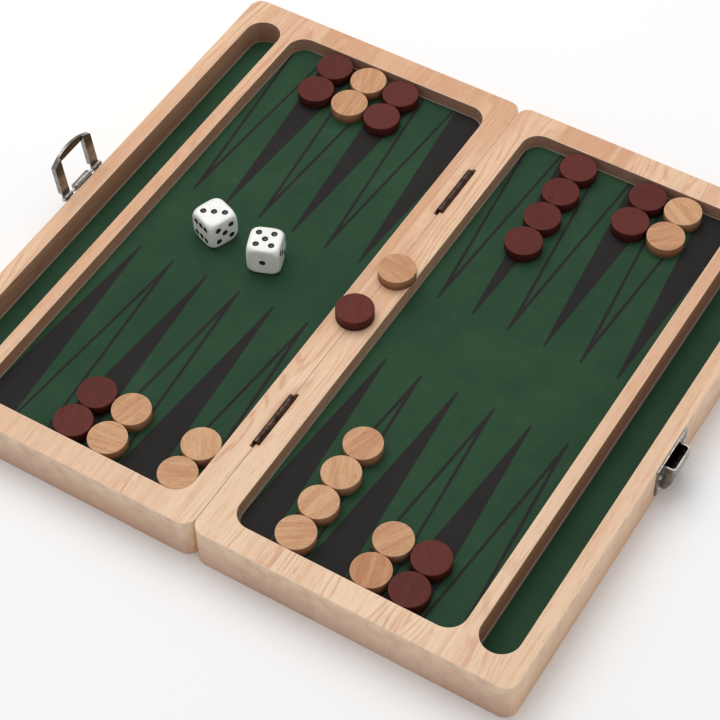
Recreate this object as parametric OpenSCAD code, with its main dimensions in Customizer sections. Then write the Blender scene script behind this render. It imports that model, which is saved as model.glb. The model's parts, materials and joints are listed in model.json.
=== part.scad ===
// Folding backgammon set: two hinged boards with milled pockets, a snap clasp, thirty checkers and two dice.
// X runs across the halves, Y along the hinged seam, Z up. The origin is under the middle of the seam.

/* [Case] */
// Length of the case along its seam
case_length = 280; // [230:1:340]
// Width of one half, across the seam
board_width = 149.4; // [124:0.2:185]
// Thickness of one half
board_thick = 22; // [18:0.5:30]
// Gap between the two halves when they lie open
seam_gap = 0.2; // [0.1:0.1:0.8]
// Radius of the upright corners of each half
corner_radius = 6; // [2:0.5:7]

/* [Pockets] */
// Rim beside the seam, half of the bar
bar_rim = 11.1; // [10:0.1:14]
// Rim at the front and at the back
end_rim = 12.2; // [9:0.2:18]
// Wall between the playing field and the checker tray
divider = 6.2; // [4:0.2:9]
// Rim outside the checker tray
outer_rim = 7.8; // [7:0.2:11]
// Depth of the playing fields
field_depth = 6.9; // [6.4:0.1:9]
// Depth of the checker trays
tray_depth = 12.5; // [9:0.1:14]
// Thickness of the lining in the pockets
lining = 0.5; // [0.3:0.1:0.8]
// Gap between the lining and the pocket walls
lining_gap = 1.1; // [0.2:0.1:1.5]

/* [Checkers] */
// Thickness of a checker
checker_thick = 5.6; // [4.6:0.1:5.8]
// Room between two rows of checkers
checker_play = 0.5; // [0.3:0.1:1.5]
// Room for a checker across the tray
tray_play = 0.2; // [0.1:0.1:1]
// Width of the eased edges of a checker
checker_ease = 0.35; // [0.1:0.05:0.8]
// Gap between neighbours in a row of checkers
row_gap = 0.1; // [0.05:0.05:0.5]
// Gap between a row's first checker and the end wall
row_start = 0.4; // [0.2:0.05:1]
// How far a board's stray checkers lie off the middle of their points
stray = 3; // [0:0.1:3.8]

/* [Dice] */
// Length of a die's side
die_side = 15.3; // [12.6:0.1:16.8]
// Radius of the ball that rounds a die's corners
die_ball = 11.4; // [11.2:0.1:12]
// Radius of a pip at the face
pip_radius = 1.5; // [1:0.1:1.6]
// Depth of a pip
pip_depth = 0.6; // [0.3:0.1:0.9]
// Distance from a face's middle to its outer pips, along the sides
pip_spread = 3.5; // [3.2:0.1:3.8]
// Turn of each die about the vertical
die_turn = 20.7; // [0:0.1:45]

/* [Hinges] */
// Distance of each hinge from the middle of the seam
hinge_offset = 76; // [40:1:90]
// Length of a hinge's barrel
hinge_length = 28.8; // [22:0.2:36]
// Number of knuckles in a hinge
knuckle_count = 4; // [3:1:6]
// Outer diameter of the knuckles
barrel_d = 3.2; // [2.8:0.1:4.6]
// Diameter of the hinge pin
hinge_pin_d = 1.2; // [1:0.1:1.6]
// Thickness of the leaves
leaf_thick = 0.8; // [0.6:0.1:1.1]
// Height of the leaves below the hinge's axis
leaf_height = 11; // [9:0.5:13]
// Length of the open notch that the hinge slot leaves past the barrel
notch_length = 2.3; // [0:0.1:4]
// Height of the hinge's axis above the rim
axis_rise = 0.1; // [0.05:0.05:0.3]

/* [Clasp] */
// Distance of the clasp from the middle of the side, along the seam's direction
clasp_offset = -4; // [-30:1:30]
// Width of the hasp and of both clasp plates
clasp_width = 27; // [24:0.5:34]
// Width of the window in the hasp
window_width = 17; // [16.4:0.1:18]
// Reach of the hasp from its pin to the top of the window
window_reach = 17.8; // [17.2:0.1:18.4]
// Height of the hasp's crossbar in the middle
crossbar = 4.2; // [3:0.1:6]
// Rise of the hasp's arched top from its shoulders to the middle
arch_rise = 4; // [2:0.1:5]
// Depth of the hasp's arms
arm_depth = 2.6; // [1.6:0.1:3]
// Diameter of the clasp's pin
clasp_pin_d = 1.4; // [1:0.1:1.8]
// Distance of the clasp's pin outside the side face
pin_out = 2.5; // [2.5:0.1:3]
// Depth of the clasp's pin below the rim
pin_drop = 1.5; // [1:0.1:3]
// How far the hasp leans outward as it stands
hasp_lean = 7; // [7:0.5:30]
// Thickness of the clasp's plates
plate_thick = 0.9; // [0.7:0.1:0.9]
// Width of the catch's nose
nose_width = 15; // [12:0.2:15.4]
// How far the nose stands out from the side face
nose_out = 5.8; // [4:0.1:5.8]
// How far the nose's lower end stands out from its plate
nose_end = 1.2; // [0.9:0.1:1.4]

/* [Fits] */
// Radial clearance of a pin in a knuckle
pin_clearance = 0.05; // [0.02:0.01:0.1]
// Clearance of screws and nails in the wood
screw_clearance = 0.05; // [0:0.01:0.1]
// Gap between neighbouring knuckles
knuckle_gap = 0.2; // [0.1:0.05:0.4]

/* [Hidden] */
$fn = 48;
// A little more than nothing, for cuts that run past a face
over = 1;

// The boards
half_gap = seam_gap / 2;
side_x = half_gap + board_width;
rim_z = board_thick;
field_start = half_gap + bar_rim;
// Six points and the tray's width, one checker each, fill what the rims leave
point_pitch = (board_width - bar_rim - divider - outer_rim + checker_play - tray_play) / 7;
checker_d = point_pitch - checker_play;
tray_width = checker_d + tray_play;
field_width = 6 * point_pitch;
tray_x = field_start + field_width + divider + tray_width / 2;
pocket_length = case_length - 2 * end_rim;
// One cutter mills every pocket, so the field's corners are as round as the tray's ends
cutter_r = tray_width / 2;
field_floor = rim_z - field_depth;
tray_floor = rim_z - tray_depth;
field_top = field_floor + lining;

// The hinges
axis_z = rim_z + axis_rise;
barrel_r = barrel_d / 2;
knuckle_room = 0.3;
leaf_bottom = axis_z - leaf_height;
leaf_room = 0.1;
slot_depth_x = 1.8;
notch_depth = 5;
hinge_screw_z = leaf_bottom + 3.6;
hinge_screw_y = 9;
hinge_screw_length = 8;
hinge_screw_r = 0.7;
hinge_head_r = 1.4;
hinges = [-hinge_offset, hinge_offset];

// The clasp
pin_z = rim_z - pin_drop;
clasp_knuckle_r = pin_out - 0.25;
clasp_knuckle_length = 10.5;
ear_r = pin_out - plate_thick - 0.15;
arm_in = 0.4;
arm_out = arm_in + arm_depth;
crossbar_in = 1.6;
crossbar_out = arm_out + 0.4;
arm_width = (clasp_width - window_width) / 2;
hasp_top = window_reach + crossbar;
arch_r = (pow(clasp_width / 2, 2) + pow(arch_rise, 2)) / (2 * arch_rise);
plate_top = rim_z - 1.2;
clasp_plate_height = 14.5;
catch_plate_height = 16.5;
nose_top = rim_z - 4;
nose_height = 15;
nose_straight = 2.5;
nose_wall = 0.7;
nose_corner = 1.5;
nail_y = clasp_width / 2 - 2.4;
nail_head_r = 1.2;
nail_head_height = 0.6;
nail_r = 0.5;
nail_length = 6;
clasp_nails_z = [plate_top - 5.5, plate_top - 12];
catch_nails_z = [plate_top - 5.8, plate_top - 13.8];

// Checkers on the points: half, points from the bar, end, colour, how many, how far off the point's middle
rows = [
    [-1, 4, 1, "red", 2, -0.3],
    [-1, 3, 1, "natural", 2, -1.2],
    [-1, 2, 1, "red", 2, -1.2],
    [-1, 3, -1, "red", 2, 0],
    [-1, 2, -1, "natural", 2, 0],
    [-1, 0, -1, "natural", 2, 0],
    [1, 1, 1, "red", 4, stray],
    [1, 3, 1, "red", 2, stray],
    [1, 4, 1, "natural", 2, stray],
    [1, 1, -1, "natural", 4, 0],
    [1, 3, -1, "natural", 2, 0],
    [1, 4, -1, "red", 2, 0]
];
// Two hit checkers lie on the bar
bar_red = [-0.6, -10.3, rim_z];
bar_natural = [3.3, 18.9, rim_z];
first_y = pocket_length / 2 - row_start - checker_d / 2;

function row_spot(r, j) = [
    r[0] * (field_start + (r[1] + 0.5) * point_pitch + r[5]),
    r[2] * (first_y - j * (checker_d + row_gap)),
    field_top
];
function spots(colour) = [for (r = rows) if (r[3] == colour) for (j = [0 : r[4] - 1]) row_spot(r, j)];
red_spots = concat(spots("red"), [bar_red]);
natural_spots = concat(spots("natural"), [bar_natural]);

// The dice lie on the left field, their places counted in points from the bar
die_spots = [
    [-field_start - 4.03 * point_pitch, 3.4, field_top + die_side / 2],
    [-field_start - 2.42 * point_pitch, 1.2, field_top + die_side / 2]
];

function number_name(word, i) = str(word, i < 10 ? "_0" : "_", i);
CHECKERS = [1 : 15];

// ---------- Outlines ----------

module rounded_outline(w, l, r) {
    square([w - 2 * r, l], center = true);
    square([w, l - 2 * r], center = true);
    for (x = [-1, 1]) for (y = [-1, 1]) translate([x * (w / 2 - r), y * (l / 2 - r)]) circle(r);
}

module slot_outline(w, l) {
    square([w, l - w], center = true);
    for (y = [-1, 1]) translate([0, y * (l - w) / 2]) circle(w / 2);
}

// ---------- Frames of reference ----------

// Turns the right half's shapes round into the left half's
module half(side) {
    rotate([0, 0, side > 0 ? 0 : 180]) children();
}

// X outward from a side face, Y from the clasp's middle, Z up from the table
module clasp_frame(side) {
    translate([side * side_x, clasp_offset, 0]) mirror([side > 0 ? 0 : 1, 0, 0]) children();
}

module along_x(r, l, r2 = -1) {
    rotate([0, 90, 0]) cylinder(r1 = r, r2 = r2 < 0 ? r : r2, h = l);
}

module along_y(r, l) {
    rotate([90, 0, 0]) cylinder(r = r, h = l, center = true);
}

// ---------- Boards ----------

module hinge_recess() {
    room_r = barrel_r + knuckle_room;
    slot_length = hinge_length + 2 * leaf_room;
    translate([0, 0, axis_z]) along_y(room_r, slot_length);
    translate([-over, -slot_length / 2, leaf_bottom - leaf_room])
        cube([half_gap + leaf_thick + leaf_room + over, slot_length, leaf_height + over]);
    translate([-over, 0, rim_z - notch_depth])
        cube([slot_depth_x + over, hinge_length / 2 + notch_length, notch_depth + over]);
}

module hinge_screw_places() {
    for (y = [-hinge_screw_y, hinge_screw_y]) translate([half_gap, y, hinge_screw_z]) children();
}

module board_shape() {
    difference() {
        translate([half_gap + board_width / 2, 0, 0])
            linear_extrude(board_thick) rounded_outline(board_width, case_length, corner_radius);
        translate([field_start + field_width / 2, 0, field_floor])
            linear_extrude(field_depth + over) rounded_outline(field_width, pocket_length, cutter_r);
        translate([tray_x, 0, tray_floor])
            linear_extrude(tray_depth + over) slot_outline(tray_width, pocket_length);
        for (y = hinges) translate([0, y, 0]) {
            hinge_recess();
            hinge_screw_places() along_x(hinge_screw_r + screw_clearance, hinge_screw_length + leaf_room);
        }
    }
}

module left_board() {
    color("burlywood") difference() {
        half(-1) board_shape();
        nail_places(-1, clasp_nails_z) nail_hole();
    }
}

module right_board() {
    color("burlywood") difference() {
        half(1) board_shape();
        nail_places(1, catch_nails_z) nail_hole();
    }
}

// ---------- Linings ----------

module field_lining(side) {
    color("darkgreen") half(side) translate([field_start + field_width / 2, 0, field_floor])
        linear_extrude(lining)
            rounded_outline(field_width - 2 * lining_gap, pocket_length - 2 * lining_gap, cutter_r - lining_gap);
}

module tray_lining(side) {
    color("darkgreen") half(side) translate([tray_x, 0, tray_floor])
        linear_extrude(lining) slot_outline(tray_width - 2 * lining_gap, pocket_length - 2 * lining_gap);
}

// ---------- Hinges ----------

// One leaf on the right of the axis, with every second knuckle from the given one on
module hinge_leaf(first) {
    step = hinge_length / knuckle_count;
    own = [for (i = [0 : knuckle_count - 1]) if (i % 2 == first) i];
    others = [for (i = [0 : knuckle_count - 1]) if (i % 2 != first) i];
    color("dimgray") difference() {
        union() {
            translate([half_gap, -hinge_length / 2, leaf_bottom]) cube([leaf_thick, hinge_length, leaf_height]);
            for (i = own) translate([0, (i + 0.5) * step - hinge_length / 2, axis_z])
                along_y(barrel_r, step - knuckle_gap);
        }
        for (i = others) translate([0, (i + 0.5) * step - hinge_length / 2, axis_z])
            along_y(barrel_r + knuckle_gap, step + knuckle_gap);
        translate([0, 0, axis_z]) along_y(hinge_pin_d / 2 + pin_clearance, hinge_length + over);
        hinge_screw_places() screw_shape(screw_clearance);
    }
}

module hinge_pin() {
    color("gray") translate([0, 0, axis_z]) along_y(hinge_pin_d / 2, hinge_length);
}

// A countersunk wood screw that points along +X
module screw_shape(grow) {
    translate([-grow, 0, 0]) along_x(hinge_head_r + grow, leaf_thick, hinge_screw_r + grow);
    along_x(hinge_screw_r + grow, hinge_screw_length);
}

module hinge_screw() {
    slot = [0.3, 2 * hinge_head_r, 0.3];
    difference() {
        screw_shape(0);
        translate([0, -slot[1] / 2, -slot[2] / 2]) cube(slot);
    }
}

module hinge_screws(side) {
    color("gray") half(side) for (y = hinges) translate([0, y, 0]) hinge_screw_places() hinge_screw();
}

module front_hinge_left_leaf() { translate([0, -hinge_offset, 0]) half(-1) hinge_leaf(knuckle_count % 2); }
module front_hinge_right_leaf() { translate([0, -hinge_offset, 0]) hinge_leaf(0); }
module rear_hinge_left_leaf() { translate([0, hinge_offset, 0]) half(-1) hinge_leaf(knuckle_count % 2); }
module rear_hinge_right_leaf() { translate([0, hinge_offset, 0]) hinge_leaf(0); }

// ---------- Clasp ----------

module nail_places(side, heights) {
    clasp_frame(side) for (y = [-nail_y, nail_y]) for (z = heights) translate([0, y, z]) children();
}

module nail_hole() {
    translate([-nail_length, 0, 0]) along_x(nail_r + screw_clearance, nail_length + over);
}

// A nail with a low, rounded head, driven in along -X
module nail() {
    edge = nail_head_height / 3;
    crown_r = 0.6 * nail_head_r;
    translate([plate_thick, 0, 0]) rotate([0, 90, 0]) rotate_extrude() polygon([
        [0, -nail_length],
        [nail_r, -nail_length],
        [nail_r, 0],
        [nail_head_r, 0],
        [nail_head_r, edge],
        [crown_r, nail_head_height],
        [0, nail_head_height]
    ]);
}

module clasp_nails() { color("silver") nail_places(-1, clasp_nails_z) nail(); }
module catch_nails() { color("silver") nail_places(1, catch_nails_z) nail(); }

// A nailed plate that hangs from plate_top down the side face
module nailed_plate(height) {
    translate([0, -clasp_width / 2, plate_top - height]) cube([plate_thick, clasp_width, height]);
}

module clasp_plate() {
    color("dimgray") difference() {
        clasp_frame(-1) difference() {
            union() {
                nailed_plate(clasp_plate_height);
                translate([pin_out, 0, pin_z]) along_y(clasp_knuckle_r, clasp_knuckle_length);
            }
            translate([pin_out, 0, pin_z]) along_y(clasp_pin_d / 2 + pin_clearance, clasp_width);
        }
        nail_places(-1, clasp_nails_z) nail_hole();
    }
}

module clasp_pin() {
    head_r = 1.1;
    head_height = 0.7;
    head_y = clasp_width / 2 + knuckle_gap + head_height / 2;
    color("silver") clasp_frame(-1) translate([pin_out, 0, pin_z]) {
        along_y(clasp_pin_d / 2, clasp_width + 2 * knuckle_gap + head_height);
        for (y = [-head_y, head_y]) translate([0, y, 0]) along_y(head_r, head_height);
    }
}

// The hasp's face, pin at the bottom: two arms under an arched crossbar
module hasp_outline() {
    difference() {
        intersection() {
            translate([-clasp_width / 2, 0]) square([clasp_width, hasp_top]);
            translate([0, hasp_top - arch_r]) circle(arch_r, $fn = 120);
        }
        translate([-window_width / 2, -over]) square([window_width, window_reach + over]);
    }
}

module hasp_shape() {
    neck = ear_r + 1;
    arm_y = window_width / 2 + arm_width / 2;
    difference() {
        union() {
            difference() {
                union() {
                    translate([arm_in, 0, 0]) rotate([90, 0, 90]) linear_extrude(arm_depth) hasp_outline();
                    translate([crossbar_in, -window_width / 2, window_reach])
                        cube([crossbar_out - crossbar_in, window_width, crossbar / 2]);
                }
                translate([-over, -window_width / 2, window_reach - over])
                    cube([crossbar_in + over, window_width, crossbar + 2 * over]);
                translate([-over, -clasp_width, -over]) cube([arm_out + 2 * over, 2 * clasp_width, neck + over]);
            }
            for (y = [-arm_y, arm_y]) translate([0, y, 0]) {
                along_y(ear_r, arm_width);
                translate([arm_in, -arm_width / 2, 0]) cube([ear_r - arm_in, arm_width, neck + over]);
            }
        }
        along_y(clasp_pin_d / 2 + pin_clearance, clasp_width + over);
    }
}

module clasp_hasp() {
    color("dimgray") clasp_frame(-1) translate([pin_out, 0, pin_z]) rotate([0, hasp_lean, 0]) hasp_shape();
}

// A scoop that swells from its lower end towards the rim and is open at the top, smaller by the given inset
module nose_solid(inset) {
    reach = nose_out - plate_thick;
    fall = reach - nose_end;
    swell = nose_height - nose_straight;
    swell_r = (pow(fall, 2) + pow(swell, 2)) / (2 * fall);
    width = nose_width - 2 * inset;
    difference() {
        intersection() {
            union() {
                translate([plate_thick + reach - swell_r, 0, nose_top - nose_straight])
                    along_y(swell_r - inset, width, $fn = 144);
                translate([0, -width / 2, nose_top - nose_straight])
                    cube([plate_thick + reach - inset, width, nose_straight + inset]);
            }
            translate([0, 0, nose_top - nose_height + inset]) linear_extrude(nose_height)
                rounded_outline(2 * (nose_out - inset), width, nose_corner);
        }
        translate([inset > 0 ? plate_thick : plate_thick / 2, 0, 0]) mirror([1, 0, 0])
            translate([0, -nose_width, -over]) cube([2 * nose_out, 2 * nose_width, rim_z + 2 * over]);
    }
}

module catch_plate() {
    color("dimgray") difference() {
        clasp_frame(1) union() {
            nailed_plate(catch_plate_height);
            difference() {
                nose_solid(0);
                nose_solid(nose_wall);
            }
        }
        nail_places(1, catch_nails_z) nail_hole();
    }
}

// ---------- Dice ----------

function pips(n) = concat(
    n % 2 == 1 ? [[0, 0]] : [],
    n > 1 ? [[-1, -1], [1, 1]] : [],
    n > 3 ? [[-1, 1], [1, -1]] : [],
    n == 6 ? [[-1, 0], [1, 0]] : []
);

module pips_on_top(n) {
    ball_r = (pow(pip_radius, 2) + pow(pip_depth, 2)) / (2 * pip_depth);
    for (p = pips(n)) translate([p[0] * pip_spread, p[1] * pip_spread, die_side / 2 + ball_r - pip_depth])
        sphere(ball_r, $fn = 24);
}

// Three up, five to +X, six to -Y, and opposite faces sum to seven
module die_shape() {
    difference() {
        intersection() {
            cube(die_side, center = true);
            sphere(die_ball, $fn = 72);
        }
        pips_on_top(3);
        rotate([180, 0, 0]) pips_on_top(4);
        rotate([0, 90, 0]) pips_on_top(5);
        rotate([0, -90, 0]) pips_on_top(2);
        rotate([90, 0, 0]) rotate([0, 0, 90]) pips_on_top(6);
        rotate([-90, 0, 0]) pips_on_top(1);
    }
}

module die_1() { color("white") translate(die_spots[0]) rotate([0, 0, -die_turn]) die_shape(); }

// Turned over so that five is up and one is at the front
module die_2() {
    color("white") translate(die_spots[1]) rotate([0, 0, die_turn]) rotate(a = 180, v = [1, 0, 1]) die_shape();
}

// ---------- Checkers ----------

module checker(spot) {
    r = checker_d / 2;
    e = checker_ease;
    t = checker_thick;
    translate(spot) rotate_extrude($fn = 72) polygon([[0, 0], [r - e, 0], [r, e], [r, t - e], [r - e, t], [0, t]]);
}

module red_checker(i) { color("maroon") checker(red_spots[i - 1]); }
module natural_checker(i) { color("wheat") checker(natural_spots[i - 1]); }

// ---------- The set ----------

left_board();
right_board();
field_lining(-1);  // left_field_lining
field_lining(1);  // right_field_lining
tray_lining(-1);  // left_tray_lining
tray_lining(1);  // right_tray_lining
front_hinge_left_leaf();
front_hinge_right_leaf();
translate([0, -hinge_offset, 0]) hinge_pin();  // front_hinge_pin
rear_hinge_left_leaf();
rear_hinge_right_leaf();
translate([0, hinge_offset, 0]) hinge_pin();  // rear_hinge_pin
hinge_screws(-1);  // left_hinge_screws
hinge_screws(1);  // right_hinge_screws
clasp_plate();
clasp_pin();
clasp_hasp();
clasp_nails();
catch_plate();
catch_nails();
die_1();
die_2();
for (i = CHECKERS) red_checker(i);
for (i = CHECKERS) natural_checker(i);
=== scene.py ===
import json
import random
from math import cos, pi, radians, sin

import bmesh
import bpy
from mathutils import Matrix, Vector
from mathutils.geometry import delaunay_2d_cdt, tessellate_polygon


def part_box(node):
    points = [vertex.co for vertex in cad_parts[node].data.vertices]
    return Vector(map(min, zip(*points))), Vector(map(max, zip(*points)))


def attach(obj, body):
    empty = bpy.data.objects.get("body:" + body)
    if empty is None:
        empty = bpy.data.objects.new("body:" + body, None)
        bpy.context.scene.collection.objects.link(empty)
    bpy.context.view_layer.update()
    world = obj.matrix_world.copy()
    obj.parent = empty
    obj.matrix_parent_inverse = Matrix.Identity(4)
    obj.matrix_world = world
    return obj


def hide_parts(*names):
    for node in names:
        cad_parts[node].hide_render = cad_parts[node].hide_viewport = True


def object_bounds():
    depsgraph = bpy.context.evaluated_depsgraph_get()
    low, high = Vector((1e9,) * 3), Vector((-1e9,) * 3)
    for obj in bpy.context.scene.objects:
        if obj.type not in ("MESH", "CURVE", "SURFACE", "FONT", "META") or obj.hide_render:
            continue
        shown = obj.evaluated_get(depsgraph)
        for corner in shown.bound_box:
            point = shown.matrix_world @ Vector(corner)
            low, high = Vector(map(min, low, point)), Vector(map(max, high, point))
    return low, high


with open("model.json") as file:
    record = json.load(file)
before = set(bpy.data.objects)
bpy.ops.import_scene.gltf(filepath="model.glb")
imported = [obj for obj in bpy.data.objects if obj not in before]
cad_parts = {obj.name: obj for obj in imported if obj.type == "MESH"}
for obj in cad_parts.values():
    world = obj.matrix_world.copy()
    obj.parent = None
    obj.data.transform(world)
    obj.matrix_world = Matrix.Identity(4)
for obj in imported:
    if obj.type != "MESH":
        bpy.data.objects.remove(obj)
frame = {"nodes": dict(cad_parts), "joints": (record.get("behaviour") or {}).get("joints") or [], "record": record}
cad_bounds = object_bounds()

MM = 0.001
BODIES = frame["record"]["behaviour"]["bodies"]
BODY_OF = {node: body for body, nodes in BODIES.items() for node in nodes}
# A distance that is small beside every edge
HAIR = 0.01 * MM


# ---------- Sizes that the frame gives ----------

RIGHT_LOW, RIGHT_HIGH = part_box("right_board")
FIELD_LOW, FIELD_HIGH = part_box("right_field_lining")
TRAY_LOW, TRAY_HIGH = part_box("right_tray_lining")
# The linings lie this far from the pocket walls
LINING_GAP = 1.1 * MM
POCKET_CORNER = (TRAY_HIGH.x - TRAY_LOW.x) / 2 + LINING_GAP
BOARD_CORNER = 6 * MM
# Radius of the eased edges, outside and along the pockets
OUTER_EASE = 0.35 * MM
POCKET_EASE = 0.4 * MM
# The hinge slots: room round the leaves and barrels, depth for a leaf, and the open notch past the barrel
LEAF_PLAY = 0.1 * MM
BARREL_PLAY = 0.3 * MM
LEAF_SLOT = 0.9 * MM
NOTCH = 2.3 * MM
NOTCH_DEPTH = 5 * MM
NOTCH_WIDTH = 1.8 * MM


# ---------- Mesh helpers ----------

def new_object(name, bm, materials, smooth=True):
    """Turns bm into an object with these materials."""
    mesh = bpy.data.meshes.new(name)
    bm.to_mesh(mesh)
    bm.free()
    for material in materials:
        mesh.materials.append(material)
    mesh.polygons.foreach_set("use_smooth", [smooth] * len(mesh.polygons))
    obj = bpy.data.objects.new(name, mesh)
    bpy.context.scene.collection.objects.link(obj)
    return obj


def even_normals(obj, sharp=35):
    """Keeps large faces flat in the shading, and edges steeper than sharp degrees crisp."""
    obj.data.set_sharp_from_angle(angle=radians(sharp))
    modifier = obj.modifiers.new("even normals", "WEIGHTED_NORMAL")
    modifier.keep_sharp = True
    modifier.weight = 60


def baked_mesh(obj):
    """Applies obj's modifiers."""
    depsgraph = bpy.context.evaluated_depsgraph_get()
    mesh = bpy.data.meshes.new_from_object(obj.evaluated_get(depsgraph))
    obj.modifiers.clear()
    obj.data = mesh


def cut(obj, cutter_bm, materials=()):
    """Takes the closed solids in cutter_bm out of obj."""
    cutter = new_object("cutter", cutter_bm, materials)
    modifier = obj.modifiers.new("cut", "BOOLEAN")
    modifier.operation = "DIFFERENCE"
    modifier.solver = "EXACT"
    modifier.object = cutter
    if materials:
        modifier.material_mode = "TRANSFER"
    baked_mesh(obj)
    bpy.data.objects.remove(cutter)


def rounded_ring(centre, width, length, corner, z, steps=10):
    """Points round a rounded rectangle, anticlockwise seen from above."""
    points = []
    for k, (sx, sy) in enumerate(((1, 1), (-1, 1), (-1, -1), (1, -1))):
        for i in range(steps + 1):
            a = (k + i / steps) * pi / 2
            x = centre[0] + sx * (width / 2 - corner) + corner * cos(a)
            y = centre[1] + sy * (length / 2 - corner) + corner * sin(a)
            points.append((x, y, z))
    return points


def loft(bm, rings):
    """Joins rings of equally many points and returns the rings of vertices."""
    loops = [[bm.verts.new(p) for p in ring] for ring in rings]
    for a, b in zip(loops, loops[1:]):
        n = len(a)
        for i in range(n):
            bm.faces.new((a[i], a[(i + 1) % n], b[(i + 1) % n], b[i]))
    return loops


def turned(bm, profile, segments):
    """Turns a profile of (radius, z) pairs about Z and closes its two ends."""
    angles = [2 * pi * i / segments for i in range(segments)]
    loops = loft(bm, [[(r * cos(a), r * sin(a), z) for a in angles] for r, z in profile])
    bm.faces.new(loops[0])
    bm.faces.new(loops[-1])


def add_box(bm, low, high):
    """A box between two corners."""
    made = bmesh.ops.create_cube(bm, size=1)["verts"]
    size = Vector(high) - Vector(low)
    middle = (Vector(high) + Vector(low)) / 2
    for v in made:
        v.co = middle + Vector((v.co[i] * size[i] for i in range(3)))


def add_bar(bm, centre, radius, length):
    """A round bar along Y."""
    turn = Matrix.Translation(centre) @ Matrix.Rotation(pi / 2, 4, "X")
    bmesh.ops.create_cone(bm, cap_ends=True, segments=32, radius1=radius, radius2=radius,
                          depth=length, matrix=turn)


# ---------- Material helpers ----------

def srgb(*values):
    """A screen colour from 0 to 255 as linear light."""
    out = []
    for v in values:
        v /= 255
        out.append(v / 12.92 if v <= 0.04045 else ((v + 0.055) / 1.055) ** 2.4)
    return (*out, 1)


class Material:
    """A node material with one Principled shader, built up from calls that return sockets."""

    def __init__(self, name):
        self.material = bpy.data.materials.new(name)
        self.material.use_nodes = True
        self.tree = self.material.node_tree
        self.shader = self.tree.nodes["Principled BSDF"]

    def node(self, kind, inputs=(), **settings):
        node = self.tree.nodes.new("ShaderNode" + kind)
        for key, value in settings.items():
            setattr(node, key, value)
        for key, value in dict(inputs).items():
            self.feed(node.inputs[key], value)
        return node

    def feed(self, socket, value):
        if isinstance(value, bpy.types.NodeSocket):
            self.tree.links.new(value, socket)
        else:
            socket.default_value = value

    def set(self, **values):
        for key, value in values.items():
            self.feed(self.shader.inputs[key.replace("_", " ")], value)

    def math(self, operation, a, b=0.0, clamp=False):
        return self.node("Math", {0: a, 1: b}, operation=operation, use_clamp=clamp).outputs[0]

    def vector(self, operation, a, b):
        return self.node("VectorMath", {0: a, 1: b}, operation=operation).outputs[0]

    def mix(self, factor, a, b):
        return self.node("Mix", {0: factor, 6: a, 7: b}, data_type="RGBA").outputs[2]

    def noise(self, at, scale=1.0, detail=2.0, roughness=0.5, distortion=0.0):
        inputs = {"Vector": at, "Scale": scale, "Detail": detail, "Roughness": roughness,
                  "Distortion": distortion}
        return self.node("TexNoise", inputs).outputs["Fac"]

    def stretched(self, at, stretch, detail=2.0, roughness=0.5, distortion=0.0):
        """Noise that is drawn out along the axes where stretch is small."""
        return self.noise(self.vector("MULTIPLY", at, stretch), 1.0, detail, roughness, distortion)

    def remap(self, value, low, high, to_low=0.0, to_high=1.0):
        inputs = {0: value, 1: low, 2: high, 3: to_low, 4: to_high}
        return self.node("MapRange", inputs, interpolation_type="SMOOTHSTEP").outputs[0]

    def place(self):
        """The place on the object at rest, in millimetres."""
        return self.vector("MULTIPLY", self.node("TexCoord").outputs["Object"], (1000, 1000, 1000))

    def parts(self, vector):
        """A vector's or colour's three numbers."""
        return self.node("SeparateXYZ", {0: vector}).outputs

    def normal(self):
        """The surface's direction at rest, as three numbers."""
        return self.parts(self.node("TexCoord").outputs["Normal"])

    def attribute(self, name, output="Fac"):
        return self.node("Attribute", attribute_name=name).outputs[output]

    def bump(self, height, distance, strength=1.0):
        node = self.node("Bump", {"Strength": strength, "Distance": distance, "Height": height})
        self.set(Normal=node.outputs[0])


# ---------- Materials ----------

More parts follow.
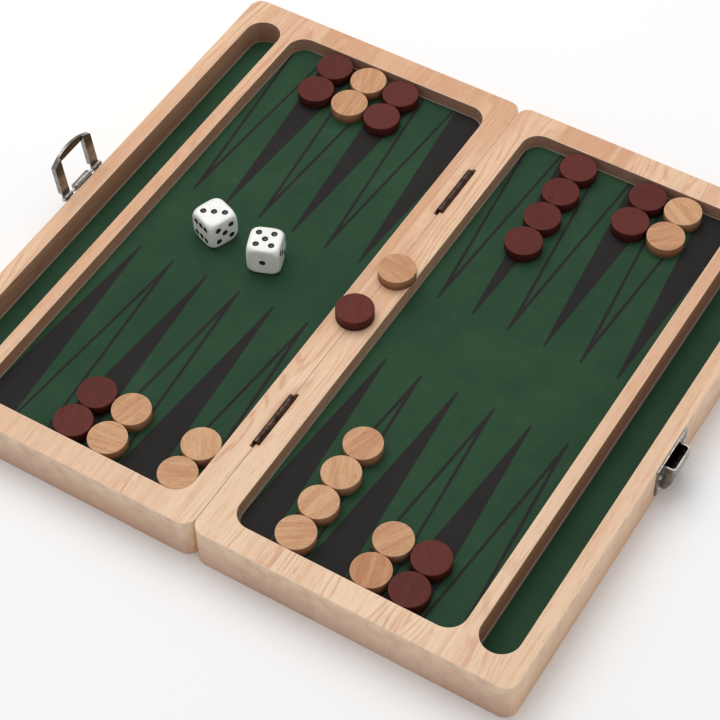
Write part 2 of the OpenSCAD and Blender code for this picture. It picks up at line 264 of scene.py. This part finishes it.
def side_grain(m, place, strips, normal):
    """Long grain along Y, in strips that differ in tone, with a painted light gradient on the upper faces. Gives
    its colour, tone, fibre and pores.
    """
    x = m.parts(place)[0]
    strip = m.parts(strips)
    along = m.vector("ADD", place, m.vector("MULTIPLY", strips, (0, 900, 60)))
    broad = m.stretched(along, (0.07, 0.008, 0.07), detail=3)
    figure = m.stretched(along, (0.30, 0.012, 0.30), detail=4, roughness=0.6, distortion=0.8)
    fibre = m.stretched(along, (2.2, 0.05, 2.2), detail=4, roughness=0.65)
    pores = m.stretched(along, (3.0, 0.14, 3.0), detail=1)

    tone = m.math("ADD", strip[0], m.remap(broad, 0.3, 0.7, -0.35, 0.35))
    colour = m.mix(m.remap(tone, 0.0, 1.0), srgb(209, 160, 124), srgb(231, 195, 161))
    colour = m.mix(m.remap(strip[1], 0.35, 1.0, 0.0, 0.4), colour, srgb(219, 169, 139))

    # Painted light: the upper faces are painted paler towards the front right corner of the open case, as if more
    # light fell there
    reach = m.node("VectorMath", {0: place, 1: (0.0026, -0.0048, 0)}, operation="DOT_PRODUCT")
    painted_light_gradient = m.remap(reach.outputs["Value"], -0.35, 0.80, 0.0, 0.65)
    pale = m.math("MULTIPLY", painted_light_gradient, m.remap(normal[2], 0.2, 0.8))
    colour = m.mix(pale, colour, srgb(240, 211, 181))
    colour = m.mix(m.remap(figure, 0.46, 0.72, 0.0, 0.45), colour, srgb(209, 154, 118))
    colour = m.mix(m.remap(figure, 0.44, 0.26, 0.0, 0.5), colour, srgb(236, 205, 172))

    # Growth rings show on some strips
    bend = m.stretched(along, (0.03, 0.006, 0.03), detail=2)
    ring = m.math("MULTIPLY", m.math("ADD", x, m.math("MULTIPLY", bend, 90)), 1.5)
    ring = m.math("ADD", m.math("SINE", ring), m.remap(fibre, 0.3, 0.7, -0.5, 0.5))
    ringed = m.math("MULTIPLY", m.remap(broad, 0.46, 0.60), m.remap(strip[2], 0.15, 0.5))
    ringed = m.math("MULTIPLY", ringed, m.remap(ring, 0.1, 1.2, 0.0, 0.6))
    colour = m.mix(ringed, colour, srgb(198, 138, 104))
    colour = m.mix(m.remap(fibre, 0.50, 0.80, 0.0, 0.32), colour, srgb(192, 138, 104))
    colour = m.mix(m.remap(fibre, 0.46, 0.20, 0.0, 0.35), colour, srgb(238, 208, 176))
    colour = m.mix(m.remap(pores, 0.63, 0.74, 0.0, 0.42), colour, srgb(172, 116, 84))
    return colour, tone, fibre, pores


def end_grain(m, place, strips, tone):
    """End grain on the front and back faces, with faint upright lines and spots."""
    shifted = m.vector("ADD", place, m.vector("MULTIPLY", strips, (0, 0, 40)))
    lines = m.stretched(shifted, (1.5, 0.03, 0.05), detail=4, roughness=0.7)
    spots = m.stretched(place, (1.6, 0.2, 1.6), detail=3, roughness=0.7)
    colour = m.mix(m.remap(tone, 0.0, 1.0), srgb(194, 155, 133), srgb(207, 169, 147))
    colour = m.mix(m.remap(lines, 0.4, 0.75, 0.0, 0.6), colour, srgb(178, 142, 121))
    return m.mix(m.remap(spots, 0.5, 0.8, 0.0, 0.35), colour, srgb(168, 132, 110))


def board_wood():
    """Oiled light hardwood, glued up from strips, with routed pockets, painted shade on the pocket walls and a
    painted highlight along the eased edges.
    """
    m = Material("board_wood")
    place = m.place()
    normal = m.normal()
    x, _, z = m.parts(place)
    strips = m.node("TexVoronoi", {"W": m.math("MULTIPLY", x, 1 / 31), "Scale": 1.0, "Randomness": 0.8},
                    voronoi_dimensions="1D").outputs["Color"]
    colour, tone, fibre, pores = side_grain(m, place, strips, normal)
    is_end = m.remap(m.math("ABSOLUTE", normal[1]), 0.5, 0.85)
    colour = m.mix(is_end, colour, end_grain(m, place, strips, tone))

    # Painted shade darkens the pocket walls and floors, the bare floor round the field linings is greyer, and a
    # painted highlight makes the eased edges paler
    colour = m.mix(m.math("MULTIPLY", m.attribute("milled"), 0.55), colour, srgb(132, 90, 68))
    bare = m.math("MULTIPLY", m.remap(normal[2], 0.8, 0.95), m.remap(z, 16.0, 18.0, 1.0, 0.0))
    colour = m.mix(bare, colour, srgb(158, 143, 129))
    # Painted highlight: the eased edges are painted paler, broken up by noise
    edge_highlight = m.math("MULTIPLY", m.attribute("eased"), m.remap(m.noise(place, 0.15), 0.2, 0.7, 0.35, 0.9))
    colour = m.mix(edge_highlight, colour, srgb(240, 214, 184))

    grease = m.noise(place, 0.03, detail=3)
    rough = m.math("ADD", m.remap(fibre, 0.3, 0.7, 0.40, 0.56), m.remap(grease, 0.3, 0.7, -0.05, 0.07))
    m.set(Base_Color=colour, Roughness=rough, Specular_IOR_Level=0.25)
    m.bump(m.math("SUBTRACT", fibre, m.remap(pores, 0.62, 0.74, 0.0, 0.9)), 0.00006, 0.6)
    return m.material


def checker_wood(name, light, dark, line, rim, deep, strength):
    """Turned discs, whose grain direction and tone are kept in their vertices."""
    m = Material(name)
    grain = m.attribute("grain", "Vector")
    tone = m.attribute("tone")
    figure = m.stretched(grain, (0.35, 0.03, 0.35), detail=3, distortion=0.4)
    fibre = m.stretched(grain, (2.6, 0.12, 2.6), detail=4, roughness=0.65)
    pores = m.stretched(grain, (4.0, 0.35, 4.0), detail=1)
    shade = m.math("ADD", tone, m.remap(figure, 0.3, 0.7, -0.3, 0.3), clamp=True)
    colour = m.mix(shade, light, dark)
    colour = m.mix(m.remap(fibre, 0.48, 0.78, 0.0, 0.65 * strength), colour, line)
    colour = m.mix(m.remap(pores, 0.60, 0.72, 0.0, 0.55 * strength), colour, line)

    # Painted shade: the turned side is painted darker than the faces, and darkest at its foot
    side = m.remap(m.math("ABSOLUTE", m.normal()[2]), 0.7, 0.2, 0.0, 0.45)
    foot = m.math("MULTIPLY", side, m.remap(m.attribute("foot"), 0.15, 0.95, 0.0, 1.7))
    colour = m.mix(side, colour, line)
    colour = m.mix(foot, colour, deep)
    colour = m.mix(m.math("MULTIPLY", m.attribute("eased"), 0.6), colour, rim)
    m.set(Base_Color=colour, Roughness=m.remap(fibre, 0.3, 0.7, 0.45, 0.62), Specular_IOR_Level=0.14)
    m.bump(m.math("SUBTRACT", fibre, m.remap(pores, 0.6, 0.74, 0.0, 0.8)), 0.00005, 0.6)
    return m.material


def felt(name, colour, deep, pale):
    """Flocked paper with a faint nap, soft darker patches, and paler patches of painted sheen."""
    m = Material(name)
    place = m.place()
    patches = m.noise(place, 0.035, detail=4, roughness=0.6)
    sheen_patches = m.noise(place, 0.16, detail=3, roughness=0.6)
    nap = m.noise(place, 5.0, detail=3, roughness=0.8)
    mixed = m.mix(m.remap(patches, 0.3, 0.7), deep, colour)
    # Painted sheen: paler patches, as if light caught the nap
    mixed = m.mix(m.remap(sheen_patches, 0.56, 0.80, 0.0, 0.35), mixed, pale)
    mixed = m.mix(m.remap(nap, 0.35, 0.75, 0.0, 0.30), mixed, pale)
    m.set(Base_Color=mixed, Roughness=m.remap(nap, 0.3, 0.7, 0.62, 0.82), Specular_IOR_Level=0.16)
    m.set(Sheen_Weight=0.02, Sheen_Roughness=0.5)
    m.bump(nap, 0.00012, 0.5)
    return m.material


def plastic(name, colour, second, roughness, specular):
    """Moulded plastic with a faint marbling and handling marks."""
    m = Material(name)
    place = m.place()
    cloud = m.noise(place, 0.25, detail=3)
    marks = m.noise(place, 1.8, detail=4, roughness=0.7)
    m.set(Base_Color=m.mix(m.remap(cloud, 0.35, 0.65), colour, second))
    m.set(Roughness=m.remap(marks, 0.3, 0.8, roughness, roughness + 0.14), Specular_IOR_Level=specular)
    m.bump(marks, 0.00002, 0.4)
    return m.material


def metal(name, colour, stain, roughness):
    """Plated steel, worn in places, with a fine directional polish."""
    m = Material(name)
    place = m.place()
    cloud = m.noise(place, 0.42, detail=4, roughness=0.6)
    polish = m.stretched(place, (7, 0.8, 7), detail=3, roughness=0.7)
    specks = m.noise(place, 3.12, detail=2, roughness=0.7)
    mixed = m.mix(m.remap(cloud, 0.35, 0.7), colour, stain)
    mixed = m.mix(m.remap(specks, 0.62, 0.8, 0.0, 0.5), mixed, stain)
    dull = m.remap(cloud, 0.3, 0.7, roughness, roughness + 0.1)
    m.set(Base_Color=mixed, Metallic=1.0, Roughness=m.math("ADD", m.remap(polish, 0.3, 0.7, 0.0, 0.12), dull))
    m.bump(polish, 0.00002, 0.35)
    return m.material


def make_materials():
    return {
        "board": board_wood(),
        # For the checkers, the third colour serves both the grain's lines and the painted shade on the side, and
        # the fifth is the painted shade at the foot
        "natural": checker_wood("natural_wood", srgb(212, 167, 128), srgb(184, 130, 94), srgb(148, 96, 64),
                                srgb(224, 188, 152), srgb(84, 54, 38), 1.0),
        "red": checker_wood("red_wood", srgb(99, 42, 34), srgb(87, 35, 29), srgb(58, 24, 21),
                            srgb(108, 54, 45), srgb(34, 16, 15), 0.4),
        "green": felt("lining_green", srgb(38, 70, 46), srgb(30, 61, 39), srgb(51, 82, 57)),
        "black": felt("lining_print", srgb(35, 33, 32), srgb(30, 28, 28), srgb(48, 47, 45)),
        "white": plastic("die_white", srgb(238, 238, 232), srgb(230, 230, 224), 0.16, 0.5),
        "pip": plastic("pip_black", srgb(22, 22, 24), srgb(28, 28, 28), 0.22, 0.5),
        "hinge": metal("hinge_metal", srgb(92, 72, 62), srgb(48, 38, 34), 0.34),
        "clasp": metal("clasp_steel", srgb(150, 145, 140), srgb(122, 116, 111), 0.12),
        "nail": metal("nail_steel", srgb(214, 212, 206), srgb(164, 160, 152), 0.18),
        "screw": metal("screw_steel", srgb(150, 140, 124), srgb(98, 88, 76), 0.30),
    }


# ---------- Boards ----------

def quarter_round(ease, steps):
    """Pairs (inset, rise) up a quarter circle, from the face to the side."""
    angles = [i / steps * pi / 2 for i in range(steps + 1)]
    return [(ease * (1 - sin(a)), ease * (1 - cos(a))) for a in angles]


def eased_down(width, length, corner, centre, top, ease):
    """Rings from the top face down over a pocket's eased edge."""
    return [rounded_ring(centre, width + 2 * grow, length + 2 * grow, corner + grow, top - drop)
            for grow, drop in quarter_round(ease, 4)]


def eased_block(width, length, corner, centre, thick, ease):
    """Rings up the outside of a block with eased edges, bottom to top."""
    lower = quarter_round(ease, 4)
    upper = [(s, thick - z) for s, z in reversed(lower)]
    return [rounded_ring(centre, width - 2 * s, length - 2 * s, corner - s, z) for s, z in lower + upper]


def pocket_of(low, high):
    """A pocket's width, length and centre from its lining's box."""
    width = high.x - low.x + 2 * LINING_GAP
    length = high.y - low.y + 2 * LINING_GAP
    return width, length, ((low.x + high.x) / 2, (low.y + high.y) / 2)


def board_body():
    """The right half's block with its two pockets, before the hinge slots."""
    bm = bmesh.new()
    thick = RIGHT_HIGH.z
    size = RIGHT_HIGH - RIGHT_LOW
    centre = ((RIGHT_LOW.x + RIGHT_HIGH.x) / 2, 0)
    outside = loft(bm, eased_block(size.x, size.y, BOARD_CORNER, centre, thick, OUTER_EASE))
    bm.faces.new(outside[0])
    loops = [outside[-1]]
    for low, high in ((FIELD_LOW, FIELD_HIGH), (TRAY_LOW, TRAY_HIGH)):
        width, length, middle = pocket_of(low, high)
        corner = min(POCKET_CORNER, width / 2 - 2 * HAIR)
        rings = eased_down(width, length, corner, middle, thick, POCKET_EASE)
        rings.append(rounded_ring(middle, width, length, corner, low.z))
        made = loft(bm, rings)
        bm.faces.new(made[-1])
        loops.append(made[0])
    flat = [v for loop in loops for v in loop]
    for triple in tessellate_polygon([[v.co for v in loop] for loop in loops]):
        bm.faces.new([flat[i] for i in triple])
    bmesh.ops.recalc_face_normals(bm, faces=bm.faces)
    return bm


def hinge_slots(hinge_y):
    """Three sets of cutters that make the hinge slots of the right half."""
    leaf_low, leaf_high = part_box("front_hinge_right_leaf")
    axis_z = frame["joints"][0]["pos_m"][2]
    barrel_r = leaf_high.z - axis_z
    half_length = (leaf_high.y - leaf_low.y) / 2
    round_cut, leaf_cut, notch_cut = bmesh.new(), bmesh.new(), bmesh.new()
    above = RIGHT_HIGH.z + MM
    for y in hinge_y:
        reach = half_length + LEAF_PLAY
        add_bar(round_cut, (0, y, axis_z), barrel_r + BARREL_PLAY, 2 * reach)
        add_box(leaf_cut, (-MM, y - reach, leaf_low.z - LEAF_PLAY),
                (RIGHT_LOW.x + LEAF_SLOT, y + reach, above))
        add_box(notch_cut, (-MM, y, RIGHT_HIGH.z - NOTCH_DEPTH),
                (NOTCH_WIDTH, y + half_length + NOTCH, above))
    return round_cut, leaf_cut, notch_cut


def mark_edges(obj, pockets):
    """Keeps in each vertex whether it lies on an eased edge, which gets a painted highlight, or on a pocket's wall
    or floor, which gets painted shade.
    """
    top = RIGHT_HIGH.z
    eased, milled = [], []
    for v in obj.data.vertices:
        x, y, z = abs(v.co.x), abs(v.co.y), v.co.z
        low_edge = HAIR < z < OUTER_EASE - HAIR
        high_edge = top - POCKET_EASE + HAIR < z < top - HAIR
        eased.append(1.0 if low_edge or high_edge else 0.0)
        inside = any(low - HAIR < x < high + HAIR and y < length + HAIR for low, high, length in pockets)
        milled.append(1.0 if inside and z < top - POCKET_EASE + HAIR else 0.0)
    for name, values in (("eased", eased), ("milled", milled)):
        obj.data.attributes.new(name, "FLOAT", "POINT").data.foreach_set("value", values)


def make_board(side, materials):
    """One half of the case. The left one is the right one turned round."""
    name = "left_board" if side < 0 else "right_board"
    hinge_y = [sum(v.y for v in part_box(f"{end}_hinge_right_leaf")) / 2 for end in ("front", "rear")]
    obj = new_object(name + "_wood", board_body(), [materials["board"]])
    for cutter in hinge_slots(hinge_y):
        cut(obj, cutter)
    if side < 0:
        obj.data.transform(Matrix.Rotation(pi, 4, "Z"))
    mark_edges(obj, [(low.x - LINING_GAP, high.x + LINING_GAP, high.y + LINING_GAP)
                     for low, high in ((FIELD_LOW, FIELD_HIGH), (TRAY_LOW, TRAY_HIGH))])
    even_normals(obj)
    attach(obj, BODY_OF[name])
    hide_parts(name)


# ---------- Linings ----------

POINTS = 6
# How far the printed tips lie beyond the middle of the board, front and back
TIP_Y = {-1: -19.3 * MM, 1: 21.5 * MM}
# How far the print runs off the middle of each point, by half and end
TIP_SHIFT = {(-1, -1): 0.6 * MM, (1, -1): 0.6 * MM, (-1, 1): 1.5 * MM, (1, 1): 2.3 * MM}
LINE_WIDTH = 1.25 * MM
TIP_WIDTH = 0.9 * MM


def point_outline(base_x, base_y, half_base, tip, half_tip):
    """A point's four corners, anticlockwise."""
    corners = [(base_x - half_base, base_y), (base_x + half_base, base_y), (tip[0] + half_tip, tip[1]),
               (tip[0] - half_tip, tip[1])]
    return corners if tip[1] > base_y else corners[::-1]


def printed_points(side, low, high):
    """The outlines printed black, and those left green inside them, for one half's field."""
    first = low.x if side > 0 else high.x
    first -= side * LINING_GAP
    pitch = (high.x - low.x + 2 * LINING_GAP) / POINTS
    black, green = [], []
    for end in (-1, 1):
        base_y = (high.y if end > 0 else low.y) + end * LINING_GAP
        for k in range(POINTS):
            x = first + side * (k + 0.5) * pitch
            tip = (x + TIP_SHIFT[side, end], TIP_Y[end])
            black.append(point_outline(x, base_y, pitch / 2, tip, TIP_WIDTH / 2))
            rank = k if side > 0 else POINTS - 1 - k
            solid = rank % 2 == (0 if end < 0 else 1)
            if not solid:
                reach = abs(base_y - tip[1])
                inner = LINE_WIDTH * reach / (pitch / 2)
                step = (tip[0] - x) * inner / reach
                inner_tip = (tip[0] - step, tip[1] + end * inner)
                green.append(point_outline(x, base_y, pitch / 2 - LINE_WIDTH, inner_tip, 2 * HAIR))
    return black, green


def field_sheet(side, low, high):
    """One sheet whose faces are cut along the printed outlines."""
    corner = POCKET_CORNER - LINING_GAP
    centre = ((low.x + high.x) / 2, (low.y + high.y) / 2)
    edge = [p[:2] for p in rounded_ring(centre, high.x - low.x, high.y - low.y, corner, 0)]
    black, green = printed_points(side, low, high)
    outlines = [edge] + black + green
    points, faces = [], []
    for outline in outlines:
        faces.append(list(range(len(points), len(points) + len(outline))))
        points += [Vector(p) / MM for p in outline]
    out = delaunay_2d_cdt(points, [], faces, 1, 0.0005)
    bm = bmesh.new()
    verts = [bm.verts.new((p.x * MM, p.y * MM, high.z)) for p in out[0]]
    for face, origins in zip(out[2], out[5]):
        if 0 not in origins:
            continue
        made = bm.faces.new([verts[i] for i in face])
        in_black = any(1 <= i <= len(black) for i in origins)
        in_green = any(i > len(black) for i in origins)
        made.material_index = 1 if in_black and not in_green else 0
    bmesh.ops.delete(bm, geom=[v for v in bm.verts if not v.link_faces], context="VERTS")
    rim = [e for e in bm.edges if e.is_boundary]
    lower = bmesh.ops.extrude_edge_only(bm, edges=rim)["geom"]
    for v in lower:
        if isinstance(v, bmesh.types.BMVert):
            v.co.z = low.z
    bmesh.ops.holes_fill(bm, edges=[e for e in bm.edges if e.is_boundary], sides=0)
    for face in bm.faces:
        if face.calc_center_median().z < high.z - HAIR:
            face.material_index = 0
    bmesh.ops.recalc_face_normals(bm, faces=bm.faces)
    return bm


def make_field(side, materials):
    """The lining of one playing field, with its printed points."""
    name = ("left" if side < 0 else "right") + "_field_lining"
    low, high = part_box(name)
    colours = [materials["green"], materials["black"]]
    obj = new_object(name + "_print", field_sheet(side, low, high), colours, smooth=False)
    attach(obj, BODY_OF[name])
    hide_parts(name)


# ---------- Checkers ----------

CHECKER_EASE = 0.45 * MM
# The flat faces start this far in from the side
CHECKER_INSET = 1.6 * CHECKER_EASE


def checker_mesh(radius, thick):
    """A disc with rounded edges, standing on z = 0."""
    lower = [(radius - inset, rise) for inset, rise in quarter_round(CHECKER_EASE, 3)]
    upper = [(r, thick - z) for r, z in reversed(lower)]
    bm = bmesh.new()
    turned(bm, [(radius - CHECKER_INSET, 0)] + lower + upper + [(radius - CHECKER_INSET, thick)], 72)
    bmesh.ops.recalc_face_normals(bm, faces=bm.faces)
    return bm


def mark_checker(obj, radius, thick, rng):
    """Keeps in each vertex its place in the grain, the tone, the eased edges and the height towards the foot,
    which weights the painted shade there.
    """
    turn = Matrix.Rotation(rng.uniform(0, pi), 3, "Z")
    start = Vector((rng.uniform(0, 500), rng.uniform(0, 500), rng.uniform(0, 500)))
    tone = rng.uniform(0.1, 0.9)
    low_edge = CHECKER_EASE - 0.1 * HAIR
    grain, eased, foot = [], [], []
    for v in obj.data.vertices:
        at_side = v.co.xy.length > radius - 0.99 * CHECKER_EASE
        at_edge = v.co.z < low_edge or v.co.z > thick - low_edge
        grain += list(turn @ (v.co / MM) + start)
        eased.append(1.0 if at_side and at_edge else 0.0)
        foot.append(1 - v.co.z / thick)
    attributes = obj.data.attributes
    attributes.new("grain", "FLOAT_VECTOR", "POINT").data.foreach_set("vector", grain)
    for name, values in (("foot", foot), ("eased", eased), ("tone", [tone] * len(foot))):
        attributes.new(name, "FLOAT", "POINT").data.foreach_set("value", values)


def make_checker(name, material, rng):
    low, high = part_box(name)
    radius = (high.x - low.x) / 2
    thick = high.z - low.z
    obj = new_object(name + "_wood", checker_mesh(radius, thick), [material])
    mark_checker(obj, radius, thick, rng)
    obj.data.transform(Matrix.Translation(((low.x + high.x) / 2, (low.y + high.y) / 2, low.z)))
    even_normals(obj, 60)
    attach(obj, BODY_OF[name])
    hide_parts(name)


def make_checkers(materials):
    rng = random.Random(15)
    for colour in ("red", "natural"):
        for i in range(1, 16):
            make_checker(f"{colour}_checker_{i:02d}", materials[colour], rng)


# ---------- Dice ----------

PIPS = {1: [(0, 0)], 2: [(-1, -1), (1, 1)], 3: [(0, 0), (-1, -1), (1, 1)],
        4: [(-1, -1), (1, 1), (-1, 1), (1, -1)], 5: [(0, 0), (-1, -1), (1, 1), (-1, 1), (1, -1)],
        6: [(-1, -1), (1, 1), (-1, 1), (1, -1), (-1, 0), (1, 0)]}
DIE_SIDE = 15.3 * MM
PIP_RADIUS = 1.5 * MM
PIP_DEPTH = 0.6 * MM
PIP_SPREAD = 3.5 * MM
# A ball of this radius rounds the corners
DIE_BALL = 11.3 * MM
# How squarely a die's faces meet, and how sharply the ball meets them
FACE_POWER = 14
BALL_POWER = 24


def die_faces():
    """The turn that takes the top face to each face, with its number of pips."""
    def about(axis, degrees):
        return Matrix.Rotation(radians(degrees), 4, axis)
    return [(3, Matrix.Identity(4)), (4, about("X", 180)), (5, about("Y", 90)), (2, about("Y", -90)),
            (6, about("X", 90) @ about("Z", 90)), (1, about("X", -90))]


def die_body():
    """A cube with soft edges whose corners are rounded by a ball."""
    bm = bmesh.new()
    bmesh.ops.create_cube(bm, size=2)
    bmesh.ops.subdivide_edges(bm, edges=bm.edges, cuts=23, use_grid_fill=True)
    half = DIE_SIDE / 2
    # The grid is drawn towards the edges, where the shape curves most
    spread = pi / 4 * 0.98
    for v in bm.verts:
        way = Vector([sin(c * spread) / sin(spread) for c in v.co]).normalized()
        cube = half / sum(abs(c) ** FACE_POWER for c in way) ** (1 / FACE_POWER)
        v.co = way * (cube ** -BALL_POWER + DIE_BALL ** -BALL_POWER) ** (-1 / BALL_POWER)
    return bm


def pip_cutters():
    """Balls that hollow out the pips of all six faces."""
    bm = bmesh.new()
    ball_r = (PIP_RADIUS ** 2 + PIP_DEPTH ** 2) / (2 * PIP_DEPTH)
    for number, turn in die_faces():
        for px, py in PIPS[number]:
            spot = Vector((px * PIP_SPREAD, py * PIP_SPREAD, DIE_SIDE / 2 + ball_r - PIP_DEPTH))
            bmesh.ops.create_uvsphere(bm, u_segments=28, v_segments=18, radius=ball_r,
                                      matrix=turn @ Matrix.Translation(spot))
    return bm


def make_die(name, turn, materials):
    low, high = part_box(name)
    obj = new_object(name + "_plastic", die_body(), [materials["white"]])
    cut(obj, pip_cutters(), [materials["pip"]])
    obj.data.transform(Matrix.Translation((low + high) / 2) @ turn)
    even_normals(obj, 28)
    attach(obj, BODY_OF[name])
    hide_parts(name)


def make_dice(materials):
    """Both dice are turned about the vertical, and the second one lies with five up and one to the front."""
    lean = radians(20.7)
    over = Matrix.Rotation(pi, 4, Vector((1, 0, 1)).normalized())
    make_die("die_1", Matrix.Rotation(-lean, 4, "Z"), materials)
    make_die("die_2", Matrix.Rotation(lean, 4, "Z") @ over, materials)


# ---------- Hardware ----------

def refined(name, material, ease):
    """A copy of a CAD node with its edges eased, which stands for it."""
    bm = bmesh.new()
    bm.from_mesh(frame["nodes"][name].data)
    bmesh.ops.remove_doubles(bm, verts=bm.verts, dist=1e-7)
    bmesh.ops.dissolve_limit(bm, angle_limit=radians(1), verts=bm.verts, edges=bm.edges)
    if ease:
        steep = [e for e in bm.edges if len(e.link_faces) == 2 and e.calc_face_angle(0) > radians(32)]
        bmesh.ops.bevel(bm, geom=steep, offset=ease, segments=2, profile=0.5, affect="EDGES",
                        clamp_overlap=True)
    for face in bm.faces:
        face.material_index = 0
    obj = new_object(name + "_metal", bm, [material])
    even_normals(obj, 40)
    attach(obj, BODY_OF[name])
    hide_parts(name)


def make_hardware(materials):
    """The hinges, clasp, catch and their fasteners."""
    for end in ("front", "rear"):
        for half in ("left", "right"):
            refined(f"{end}_hinge_{half}_leaf", materials["hinge"], 0.12 * MM)
        refined(f"{end}_hinge_pin", materials["hinge"], 0.1 * MM)
    for half in ("left", "right"):
        refined(f"{half}_hinge_screws", materials["screw"], 0)
    refined("clasp_plate", materials["clasp"], 0.12 * MM)
    refined("catch_plate", materials["clasp"], 0.12 * MM)
    refined("clasp_hasp", materials["clasp"], 0.35 * MM)
    refined("clasp_pin", materials["nail"], 0.15 * MM)
    for name in ("clasp_nails", "catch_nails"):
        refined(name, materials["nail"], 0)


def dress_trays(materials):
    """The tray linings keep their CAD shape and get the felt."""
    for half in ("left", "right"):
        node = frame["nodes"][f"{half}_tray_lining"]
        node.data.materials.clear()
        node.data.materials.append(materials["green"])


# ---------- Stage ----------

def floor_material():
    m = Material("floor")
    place = m.place()
    cloud = m.noise(place, 0.004, detail=3)
    m.set(Base_Color=m.mix(cloud, (0.93, 0.93, 0.93, 1), (0.96, 0.96, 0.96, 1)), Specular_IOR_Level=0.1)
    m.set(Roughness=m.remap(m.noise(place, 0.5), 0.3, 0.7, 0.7, 0.8))
    return m.material


def make_floor():
    bm = bmesh.new()
    bmesh.ops.create_grid(bm, x_segments=1, y_segments=1, size=4)
    floor = new_object("floor", bm, [floor_material()])
    floor.location.z = cad_bounds[0][2] - 0.05 * MM


def make_light(name, spot, size, power):
    """An area light at spot that faces the origin."""
    light = bpy.data.lights.new(name, "AREA")
    light.shape = "SQUARE"
    light.size = size
    light.energy = power
    obj = bpy.data.objects.new(name, light)
    obj.location = spot
    obj.rotation_euler = (-Vector(spot)).to_track_quat("-Z", "Y").to_euler()
    bpy.context.scene.collection.objects.link(obj)


def make_lights():
    """A bright even surround and one large soft light from the back left."""
    world = bpy.data.worlds.new("studio")
    world.use_nodes = True
    background = world.node_tree.nodes["Background"]
    background.inputs["Color"].default_value = (1, 1, 1, 1)
    background.inputs["Strength"].default_value = 0.58
    bpy.context.scene.world = world
    make_light("key", (-0.55, 0.45, 1.5), 1.5, 17)


def make_camera():
    """Looks down at the open case from its front right."""
    azimuth, elevation, roll = radians(32.68), radians(51.20), radians(-1.57)
    target = Vector((0.00448, -0.01518, 0))
    distance = 0.9795
    back = Vector((sin(azimuth) * cos(elevation), -cos(azimuth) * cos(elevation), sin(elevation)))
    level = (-back).cross(Vector((0, 0, 1))).normalized()
    upward = level.cross(-back)
    right = cos(roll) * level + sin(roll) * upward
    up = cos(roll) * upward - sin(roll) * level
    data = bpy.data.cameras.new("camera")
    data.lens = 110.97
    data.sensor_width = 36
    data.clip_end = 20
    camera = bpy.data.objects.new("camera", data)
    turn = Matrix((right, up, back)).transposed().to_4x4()
    camera.matrix_world = Matrix.Translation(target + distance * back) @ turn
    bpy.context.scene.collection.objects.link(camera)
    bpy.context.scene.camera = camera


def main():
    bpy.context.scene.view_settings.view_transform = "Standard"
    make_camera()
    make_lights()
    make_floor()
    materials = make_materials()
    for side in (-1, 1):
        make_board(side, materials)
        make_field(side, materials)
    dress_trays(materials)
    make_checkers(materials)
    make_dice(materials)
    make_hardware(materials)


main()
bpy.context.view_layer.update()
